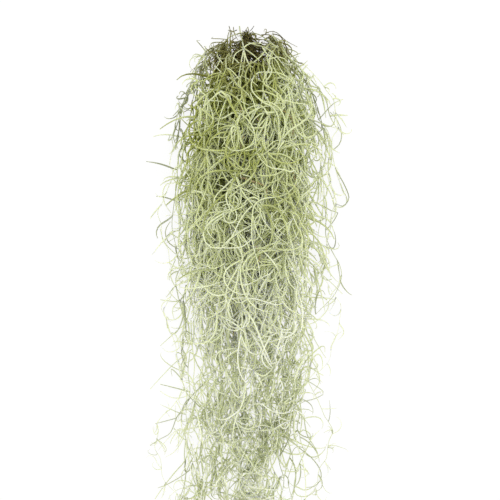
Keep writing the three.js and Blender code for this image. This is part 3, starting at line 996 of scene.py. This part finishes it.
FRONT_ARCHES = (
    (6, 0, (240.6, 113.6), (236.6, 121), (233.5, 131), (226.3, 137.2), (213.6, 137.7), (204.4, 146.3),
     (197.6, 156.6), (191.8, 162.3)),
    (6, 0, (240.6, 113.6), (248, 119.9), (253.8, 130.2), (255.5, 141.7), (257, 150)),
    (6, 0, (240.6, 113.6), (232, 113), (224, 118), (214, 119)),
    (6, 0, (240.6, 113.6), (237, 125), (234, 138), (236, 148)),
    (6, 0, (240.6, 113.6), (250, 112), (262, 107), (270, 106)),
    (6, 0, (256, 96), (264, 103), (272, 106.5), (278, 116), (279, 128), (278, 141)),
    (5, 0, (273.3, 105), (276.8, 101), (284.8, 100.4), (294, 102.7), (307.8, 104.4)),
    (6, 0, (272, 106), (276, 109), (282, 109.5), (285.5, 105.5), (281, 103), (275, 103.5)),
    (6, 0, (222.8, 147.4), (234.3, 149.7), (244.6, 150.9), (254, 149)),
    (6, 0, (222.8, 147.4), (220.5, 157.8), (216, 165.8), (209, 170.4), (203.3, 168), (201, 163.5)),
    (6, 0, (217, 158), (220, 155.8), (227.4, 156.6), (234.3, 161.2), (238.9, 168), (241.2, 178.4)),
    (6, 0, (266.4, 148.6), (273.3, 141.7), (279, 140.5), (290.5, 141), (298.6, 134.8), (312.4, 125.6)),
    (5, 0, (293.4, 141.7), (287, 147), (283.5, 154), (290, 164), (297, 170)),
    (5, 0, (293.4, 141.7), (292.5, 152), (289, 163)),
    (5, 0, (293.4, 141.7), (296, 152), (297.5, 166)),
    (5, 0, (293.4, 141.7), (300, 150), (304.5, 161)),
    (5, 0, (293.4, 141.7), (286, 144), (281, 149), (279, 157)),
    (6, 0, (285.2, 161.3), (294, 170.2), (301.8, 181.7), (310.7, 195.7)),
    (7, 0, (298, 170.2), (296.7, 179.1), (294, 186.5), (285.2, 194.4), (275, 197), (264.8, 198.3),
     (257.1, 202.1), (253.3, 208.5), (252, 221.2), (252, 239), (254.6, 251.8), (258.4, 264.6),
     (259.7, 276)),
    (7, 0, (260, 208), (261.5, 216), (266, 223.8), (277.6, 236.5), (287.8, 244.2), (290.3, 249.3)),
    (6, 0, (253, 216), (254.6, 223.8), (258.4, 234), (264.8, 243)),
    (6, 0, (264, 206), (268.6, 213.6), (275, 226.3), (285.2, 235.3)),
    (7, 0, (252, 239), (241.8, 246.7), (226.5, 248), (211.2, 247.4), (204.8, 250.6)),
    (6, 0, (254, 253), (247, 259), (242, 268), (245, 271), (250, 268.5), (256, 270)),
    (6, 0, (252, 206), (245, 213), (238, 224), (233, 235), (226, 245)),
    (6, 0, (222.7, 205.9), (229, 204), (235.5, 211), (236.7, 218.7), (231.6, 223), (225.3, 221.2),
     (223.5, 213), (226, 206)),
    (6, 0, (222, 196), (230, 193), (237, 198), (238, 205), (232, 210), (224, 208)),
    (6, 0, (229, 181.7), (239.3, 186.8), (249.5, 191.9), (258.4, 197)),
    (5, 0, (192, 192.5), (201, 191.9), (208.7, 197), (211, 203.4)),
    (6, 0, (224, 265.9), (231.6, 279.9), (244.4, 285), (255.9, 280.5), (272.4, 272.2)),
    (7, 0, (213.8, 305.4), (226.5, 300.3), (239.3, 297.8), (255.9, 299), (264.8, 301.6), (276.3, 304.8),
     (282.7, 302.9)),
    (6, 0, (219, 202), (215, 214), (210, 226), (202, 236)),
    (6, 0, (262, 250), (270, 258), (277, 268), (281, 280), (290, 287)),
    (6, 0.3, (206, 176), (212, 190), (208, 206), (214, 222), (210, 238)),
    (6, 0.3, (270, 160), (276, 176), (272, 190), (280, 206), (290, 220)),
    (6, 0, (183, 168), (190, 178), (192, 190), (187, 203)),
    (5, 0, (297, 222), (287, 228), (278, 238), (272, 250)),
)
TAIL_ARCHES = (
    (6, 0, (225.3, 360), (231.6, 363.8), (241.8, 367.6), (252, 369.5), (257, 376), (261, 383),
     (264.8, 391.8)),
    (6, 0, (252, 369.5), (262, 376), (270, 370), (276, 362)),
    (6, 0.3, (313.3, 302.6), (300.5, 325.5), (288, 337), (284, 351), (282.7, 363.8), (279, 378)),
    (5, 0, (300.5, 325.5), (288, 330), (276, 333), (266, 331)),
    (5, 0.3, (191, 320), (192, 344.6), (194.6, 363.8), (193, 382)),
    (5, 0.3, (194.6, 400), (201, 433.9), (206, 459.4), (204.8, 478.6), (199.7, 500)),
    (6, 0, (239.3, 446.7), (249.5, 460.7), (258.4, 471), (268.6, 478.6)),
    (5, 0.3, (294, 409.7), (294, 427.6), (298, 446.7), (303, 462), (305.6, 480), (305.6, 502)),
    (6, 0.2, (284, 362), (278, 380), (282, 398), (276, 416), (270, 432)),
    (6, 0, (262, 404), (272, 411), (286, 413), (296, 405)),
    (6, 0.3, (246, 384), (243, 402), (236, 418), (233, 436), (240, 452)),
    (6, 0.2, (215, 322), (222, 340), (220, 358), (226, 372), (224, 390)),
    (5, 0, (212, 468), (222, 473), (233, 470), (243, 476)),
    (5, 0, (222, 474), (216, 484), (214, 496)),
    (5, 0, (222, 474), (227, 485), (225, 498)),
    (6, 0, (205, 300), (199, 316), (203, 330), (214, 336)),
)
LEFT_STRAYS = (
    (3, 0.8, (196, 84), (188, 96), (182, 110), (180, 126)),
    (4, 0.6, (206, 60), (202, 74), (196, 88), (192, 104), (190, 120)),
    (3, 0.7, (228, 41), (216, 47), (207, 56), (201, 68), (197, 84)),
    (3, 0.7, (225, 47), (213, 53), (206, 64), (203, 78), (199, 94)),
    (2, 0.7, (222, 44), (209, 49), (200, 59), (195, 72), (189, 88)),
    (2, 0.9, (186, 285), (183, 305), (186, 325), (182, 345), (186, 365)),
    (1, 0.9, (180, 300), (184, 322), (180, 342), (186, 360), (182, 380)),
    (1, 0.9, (192, 340), (185, 358), (182, 378), (187, 398), (181, 418), (184, 436)),
    (2, 0.5, (200, 66), (193, 80), (186, 96), (180, 112), (179, 132), (176, 150)),
    (3, 0, (206, 62), (199, 66), (193, 71), (188, 80)),
    (3, 0, (212, 50), (203, 58), (197, 66), (191.5, 74)),
    (0, 0, (198.7, 79.7), (193, 77.4), (188.4, 72.8)),
    (0, 0, (190.7, 110.7), (182.6, 108.4), (176.9, 103.2)),
    (0, 0, (180, 117), (176.9, 125.6), (173.4, 137), (178, 148.6)),
    (2, 0.5, (184, 140), (178, 160), (177, 182), (174, 204), (172, 226), (176, 246)),
    (0, 0, (180, 181), (174, 183), (166.6, 184), (162.8, 191.9), (164.5, 203), (171, 213)),
    (0, 0, (192, 221.2), (183.2, 217.4), (173, 214.8), (165.3, 216)),
    (0, 0, (181.9, 258.2), (173, 251.8), (164, 241.6), (160.2, 228.9)),
    (0, 0, (179.3, 249.3), (169, 242.9), (165.3, 231.4), (170.4, 221.2)),
    (0, 0, (188.3, 234), (175.5, 237.8), (166.6, 243)),
    (1, 0.5, (184, 262), (176, 278), (178, 296), (182, 312), (186, 330)),
    (0, 0, (175.5, 259.5), (170.4, 274.8), (176.8, 288.8), (184.4, 297.8)),
    (0, 0, (186, 292), (180, 300), (174.2, 301.6), (160.2, 299.7)),
    (0, 0, (184.4, 296.5), (173, 308), (174.2, 319.4)),
    (0, 0, (187, 322), (173, 334.4), (160.2, 345.9)),
    (0, 0, (192, 344.6), (183, 342), (173, 341.5)),
    (0, 0, (192, 349), (175.5, 362.5), (162.8, 375.3), (150, 389.3)),
    (1, 0.5, (190, 352), (188, 372), (190, 392), (186, 410), (188, 430)),
    (0, 0, (189.5, 391.8), (175.5, 388), (160.2, 384.2)),
    (0, 0, (192, 394), (180, 398), (170, 397), (160, 391)),
    (0, 0, (206, 381.6), (192, 395.7), (184.4, 407), (176.8, 417.3), (170.4, 432.7), (160.2, 439),
     (150, 445.4)),
    (0, 0, (176.8, 418), (166, 421), (155, 423.7)),
    (0, 0, (174, 428), (180, 436), (187, 442), (187, 452)),
    (0, 0.3, (192, 444), (184, 462), (175.5, 471.6), (163, 487.5), (155, 499)),
    (0, 0, (190, 470), (181.9, 476), (168, 484), (157.7, 488)),
    (1, 0.4, (196, 452), (187, 470), (184, 486), (178, 503)),
)
RIGHT_STRAYS = (
    (2, 0.8, (308, 118), (318, 134), (322, 152), (320, 172)),
    (1, 0.6, (324, 128), (330, 148), (328, 168), (332, 188)),
    (1, 0.6, (318, 240), (324, 256), (320, 272)),
    (3, 0.7, (264, 40), (276, 46), (284, 56), (291, 68), (299, 82)),
    (2, 0.7, (268, 37), (281, 44), (291, 54), (298, 66), (306, 78)),
    (4, 0.6, (282, 62), (290, 74), (297, 88), (303, 104)),
    (1, 0.5, (284, 400), (280, 420), (284, 440), (279, 460), (284, 480), (280, 500)),
    (2, 0.5, (292, 420), (288, 440), (293, 460), (288, 480), (292, 498)),
    (0, 0, (318, 119.9), (321.5, 116.4), (330.7, 106), (336, 102), (343.3, 99.2)),
    (0, 0, (312.4, 93.5), (315.8, 107.2), (318, 117.6), (322.7, 123.3), (335.3, 128)),
    (2, 0.5, (296, 66), (306, 82), (314, 98), (320, 116), (324, 134), (326, 154)),
    (1, 0.3, (306, 74), (318, 88), (326, 100), (330, 116), (338, 130)),
    (1, 0.5, (314, 120), (325, 126.8), (330.7, 140.5), (333, 157.8), (338.8, 179.6), (346.4, 197)),
    (0, 0, (333, 150), (340, 143), (341.5, 132), (337, 120), (330, 112)),
    (0, 0, (337, 172), (344, 184), (349, 198), (343, 206), (335, 203)),
    (2, 0.5, (318, 150), (322, 170), (324, 192), (322, 214), (318, 236), (320, 256)),
    (0, 0, (322, 205), (332, 211), (338, 212), (333, 222), (326, 230)),
    (0, 0.3, (324, 200), (326, 218), (326, 236.5), (332.4, 251.8), (340, 265.9), (341.3, 278.6),
     (335, 294), (326, 304), (315.8, 314.3)),
    (0, 0, (303, 260.8), (315.8, 269.7), (331, 282.4), (342.6, 294)),
    (0, 0, (341, 276), (338, 286), (333, 292), (329, 300)),
    (0, 0, (330, 262), (322, 270), (325, 280), (332, 279)),
    (0, 0, (339, 264), (331, 267), (322, 270)),
    (1, 0.5, (306, 262), (312, 280), (310, 298), (304, 316), (308, 334)),
    (0, 0, (328.6, 301), (327.3, 310), (315.8, 321.7), (303, 325.5)),
    (0, 0, (327, 300), (321, 296), (312, 293), (308, 286)),
    (1, 0.5, (298, 322), (304, 338), (309, 356), (306, 374), (303, 392)),
    (0, 0, (308, 356), (317, 368.9), (319.6, 381.6), (313.3, 391.8)),
    (0, 0, (306, 380), (316, 386), (324, 393), (314, 399), (303, 402), (290.3, 411)),
    (1, 0.5, (296, 384), (300, 402), (302, 420), (300, 438), (306, 454)),
    (0, 0, (304, 416), (307, 434), (315.8, 449), (318.4, 456.9), (314.5, 459.4)),
    (0, 0, (299.2, 448), (310.7, 456.9), (319.6, 468.4), (321, 478.6), (314.5, 486.2), (305.6, 487.5)),
    (0, 0, (310, 330), (316, 342), (322, 352), (326, 358)),
)
DRIED_SHOOTS = (
    (0, 0, (236, 96), (241, 106), (240, 114), (236, 122)),
    (-2, 0, (244, 136), (240, 144), (243, 152), (238, 160)),
    (-1, 0.5, (232, 160), (237, 166), (243, 172), (240, 178)),
    (0, 0, (289, 160), (293, 172), (296, 184), (292, 194)),
    (-2, 0, (256, 116), (260, 124), (264, 134), (262, 142)),
    (-2, 0, (256, 246), (260, 254), (258, 264)),
    (0, 0, (225, 318), (226, 326), (223, 334)),
    (0, 0, (231, 320), (234, 327), (233, 336)),
    (-2, 0, (196, 110), (204, 118), (210, 128)),
    (-1, 0, (282, 110), (290, 116), (294, 126), (292, 136)),
)
DEAD_STEMS = (
    (0, 0, (229, 26), (230.5, 31), (233, 38), (232, 46)),
    (2, 0, (233.5, 27), (234, 33), (238, 40)),
    (2, 0, (237, 30), (232, 32), (228, 30)),
    (2, 0, (254, 26), (250, 31), (244, 33), (240, 38)),
    (2, 0, (248, 27), (245, 32), (246, 40)),
    (0, 0, (252, 31), (256, 36), (254, 43), (248, 47)),
    (0, 0, (261, 35), (268, 34.5), (273, 36.5)),
    (0, 0, (262, 36), (270, 31.5), (276.8, 32.6), (286, 40.7), (297.4, 47)),
    (0, 0, (272, 34), (280.2, 36), (286, 46.4), (288.2, 57.9)),
    (0, 0, (274, 40), (283, 43), (289, 52), (286, 60)),
    (-2, 0, (262, 44), (270, 47), (277, 54), (281, 62), (288, 68)),
    (0, 0, (228, 45), (222, 44), (218, 48), (208, 54), (198, 60)),
    (0, 0, (224, 40), (217, 45), (212, 52), (203, 56), (196, 66)),
    (0, 0, (216, 56), (208, 62), (202, 66), (196, 75)),
    (0, 0, (213, 60), (205, 60), (199, 64), (190, 72)),
    (-3, 0, (236, 38), (229, 44), (227, 52), (232, 58), (230, 66), (238, 70)),
    (-3, 0, (262, 50), (268, 56), (266, 64), (260, 68)),
    (0, 0, (184, 112), (190, 108), (192, 100)),
    (0, 0, (294, 60), (299, 63), (304, 64.5)),
)

KNOT_HEIGHT = 0.55  # the bunch is only so high at the knot, against the outline of its festoons
KNOT_SLOPE = 60 * MM  # over which it gets its full height
EDGE_FALL = 0.6  # how steeply what strays out sinks to the floor
STRAY_HEIGHT = 3 * MM
FLOOR_CLEAR = 2 * MM
SIGHT_ROUNDS = 4  # the height under a pixel and its place depend on each other, so in rounds
NEAR_KNOT = (180 * MM, 240 * MM)  # along Y, over which placed stems get shorter leaves
NEAR_KNOT_REACH = 0.5  # share of their length that those leaves lack


def skin_height(x, y):
    """How high the bunch stands at a place. Beside it, what strays out sinks to the floor."""
    middle, half, height = outline_at(y)
    slope = eased(ramp(y, CROWN.y, CROWN.y - KNOT_SLOPE))
    height *= KNOT_HEIGHT + (1 - KNOT_HEIGHT) * slope
    across = abs(x - middle) / half
    if across < 1:
        return height * (AXIS_HEIGHT + (1 - AXIS_HEIGHT) * math.sqrt(1 - across * across))
    return max(height * (AXIS_HEIGHT - (across - 1) * EDGE_FALL), STRAY_HEIGHT)


def seen_at(pixel, lift):
    """The point that the camera sees at a pixel, this far over the skin of the bunch."""
    z = VIEW_MIDDLE.z
    for _ in range(SIGHT_ROUNDS):
        scale = PIXEL * (1 - (z - VIEW_MIDDLE.z) / VIEW_DISTANCE)
        x = VIEW_MIDDLE.x + (pixel[0] - VIEW_PIXELS / 2) * scale
        y = VIEW_MIDDLE.y - (pixel[1] - VIEW_PIXELS / 2) * scale
        z = skin_height(x, y) + lift
    return Vector((x, y, max(z, FLOOR_CLEAR)))


def placed_stem(strand, tone, girth):
    """A stem through listed pixels of the view. Near the knot its leaves are shorter."""
    lift, leaves, *pixels = strand
    spots = []
    for pixel in pixels:
        point = seen_at(pixel, lift * MM)
        outward, loose = surroundings(point)[0], tail_share(point.y)
        reach = 1 - NEAR_KNOT_REACH * ramp(point.y, *NEAR_KNOT)
        spots.append(Spot(point, outward, 0.0, leaves, loose, reach, tone, girth))
    return spots


STRAY_GROWTH = Growth(
    leaf=26 * MM, joint=19 * MM, along=0.7, hug=0.5, tailward=0.7, tones=(0.5, 0.95), girths=(0.5, 0.8)
)
ARCH_GROWTH = STRAY_GROWTH._replace(tones=(0.8, 1.2))
DRIED_GROWTH = STRAY_GROWTH._replace(tones=(0.3, 1.0))
FLANK_GROWTH = STRAY_GROWTH._replace(
    joint=13 * MM, hug=0.4, curl=(0.8, 4.2), tones=(0.1, 0.6), girths=(0.38, 0.62)
)
SLICE = 8 * MM  # from one point of a flank shoot's path to the next


def shoot_along(node, rng):
    """A stem along the middle of a single shoot's node."""
    path = [sum(points, Vector()) / len(points) for _, points in rows_across([node], SLICE)]
    return make_stem(rng, path[::-1], FLANK_GROWTH)


def grow_strands(node, strands, material, growth, extra=()):
    """Grows listed strands, and some more, as the piece that stands for a node."""
    rng = random.Random(f"{node} {bpy.context.scene.moss_shoots.seed}")
    stems = [
        placed_stem(strand, rng.uniform(*growth.tones), rng.uniform(*growth.girths))
        for strand in strands
    ]
    piece = grow("moss_" + node, [*stems, *extra], growth, material, rng.randrange(1000))
    hand_in(piece, node)


class MOSS_OT_top_shoots(bpy.types.Operator):
    """Single shoots that arch over the crown, the front and the tail"""

    bl_idname = "moss.top_shoots"
    bl_label = "Top shoots"

    def execute(self, context):
        arches = {
            "top_shoot_1": (CROWN_ARCHES, ARCH_GROWTH),
            "top_shoot_2": (FRONT_ARCHES, STRAY_GROWTH),
            "top_shoot_4": (TAIL_ARCHES, STRAY_GROWTH),
        }
        for node, (strands, growth) in arches.items():
            grow_strands(node, strands, live_skin(), growth)
        return {"FINISHED"}


class MOSS_OT_dried_shoots(bpy.types.Operator):
    """The dried shoots among the live ones"""

    bl_idname = "moss.dried_shoots"
    bl_label = "Dried shoots"

    def execute(self, context):
        grow_strands("top_shoot_3", DRIED_SHOOTS, dried_skin(), DRIED_GROWTH)
        return {"FINISHED"}


class MOSS_OT_flank_shoots(bpy.types.Operator):
    """Single shoots that stray out of both flanks"""

    bl_idname = "moss.flank_shoots"
    bl_label = "Flank shoots"

    def execute(self, context):
        nodes = [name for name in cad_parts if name.startswith("flank_shoot")]
        for side, strands in ((-1, LEFT_STRAYS), (1, RIGHT_STRAYS)):
            beside = {}
            for name in nodes:
                low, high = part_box(name)
                if (low[0] + high[0]) * side > 0:
                    beside[name] = ((low[1] + high[1]) / 2, [])
            for strand in strands:
                _, _, first, *_ = strand
                y = seen_at(first, 0.0).y
                nearest = min(beside, key=lambda name: abs(beside[name][0] - y))
                beside[nearest][1].append(strand)
            for name, (_, own) in beside.items():
                extra = [shoot_along(name, random.Random(name))]
                grow_strands(name, own, stray_skin(), FLANK_GROWTH, extra)
        return {"FINISHED"}


KNOT_GROWTH = Growth(
    leaf=18 * MM, joint=12 * MM, curl=(1.0, 4.5), hug=0.4, along=0.5, tones=(0.3, 1.1), girths=(0.28, 0.55)
)
DOME_GROWTH = KNOT_GROWTH._replace(tones=(0.1, 0.9), girths=(0.45, 0.95))
KNOT_MIDDLE = Vector((-1 * MM, 264 * MM, 10 * MM))
DOME_STEMS = 104  # dead stems that lead out of the knot to all sides and droop into the bunch
DOME_POINTS = 9
DOME_REACH = (14 * MM, 50 * MM)  # how far they get, the shortest and the longest
DOME_TURN = 1.5  # radians to both sides, where 0 leads down the bunch
DOME_KINK = 1.1  # radians that a stem turns aside on its way, at most
DOME_DRAWS_IN = 0.35  # how much less far they get to the sides, and how much they turn back down
DOME_HEIGHT = 15 * MM
DOME_ARCH = 1.9  # radians of a sine: up at first, then drooping a little
DOME_WANDER = (0.5, 0.3)  # sideways and upwards, as shares of how a live stem wanders


class MOSS_OT_dead_knot(bpy.types.Operator):
    """The tangle of dead stems at the crown, with its stubs and runners"""

    bl_idname = "moss.dead_knot"
    bl_label = "Dead stem knot"

    def execute(self, context):
        rng = random.Random(context.scene.moss_shoots.seed)
        dead = []
        for _ in range(DOME_STEMS):
            turn = rng.triangular(-DOME_TURN, DOME_TURN)
            reach = rng.uniform(*DOME_REACH) * (1 - DOME_DRAWS_IN * abs(turn))
            climb, kink = rng.uniform(0.1, 1.0), rng.uniform(-DOME_KINK, DOME_KINK)
            sideways, upwards = (wander(rng, WANDER) for _ in range(2))
            path = []
            for i in range(DOME_POINTS):
                share = i / (DOME_POINTS - 1)
                out = reach * share
                way = turn * (1 - DOME_DRAWS_IN * share) + kink * share
                x = KNOT_MIDDLE.x + out * math.sin(way) + DOME_WANDER[0] * share * sideways(out)
                y = KNOT_MIDDLE.y - out * math.cos(way)
                z = KNOT_MIDDLE.z + DOME_HEIGHT * climb * math.sin(DOME_ARCH * share)
                z += DOME_WANDER[1] * upwards(out)
                path.append(Vector((x, y, max(z, FLOOR_CLEAR))))
            dead.append(make_stem(rng, path, DOME_GROWTH, leaves=1.0))
        grow_strands("dead_stem_knot", DEAD_STEMS, dead_skin(), KNOT_GROWTH, dead)
        return {"FINISHED"}


# ---- Panel and registration ------------------------------------------------------------------

STEPS = (
    MOSS_OT_stage,
    MOSS_OT_base_festoons,
    MOSS_OT_core_festoons,
    MOSS_OT_upper_festoons,
    MOSS_OT_crown_festoons,
    MOSS_OT_tail_festoons,
    MOSS_OT_top_shoots,
    MOSS_OT_dried_shoots,
    MOSS_OT_flank_shoots,
    MOSS_OT_dead_knot,
)
SETTINGS = {
    "moss_shoots": MossShootSettings,
    "moss_colours": MossColourSettings,
    "moss_stage": MossStageSettings,
}


class MOSS_PT_panel(bpy.types.Panel):
    """Buttons for every step, and the settings"""

    bl_label = "Spanish moss bunch"
    bl_idname = "MOSS_PT_panel"
    bl_space_type = "VIEW_3D"
    bl_region_type = "UI"
    bl_category = "Moss"

    def draw(self, context):
        for settings, group in SETTINGS.items():
            box = self.layout.box()
            for name in group.__annotations__:
                box.prop(getattr(context.scene, settings), name)
        for step in STEPS:
            self.layout.operator(step.bl_idname)


CLASSES = (*SETTINGS.values(), *STEPS, MOSS_PT_panel)


def register():
    for cls in CLASSES:
        bpy.utils.register_class(cls)
    for name, group in SETTINGS.items():
        setattr(bpy.types.Scene, name, PointerProperty(type=group))


def unregister():
    for name in SETTINGS:
        delattr(bpy.types.Scene, name)
    for cls in reversed(CLASSES):
        bpy.utils.unregister_class(cls)


def main():
    register()
    for step in STEPS:
        space, name = step.bl_idname.split(".")
        getattr(getattr(bpy.ops, space), name)()


if __name__ == "__main__":
    main()
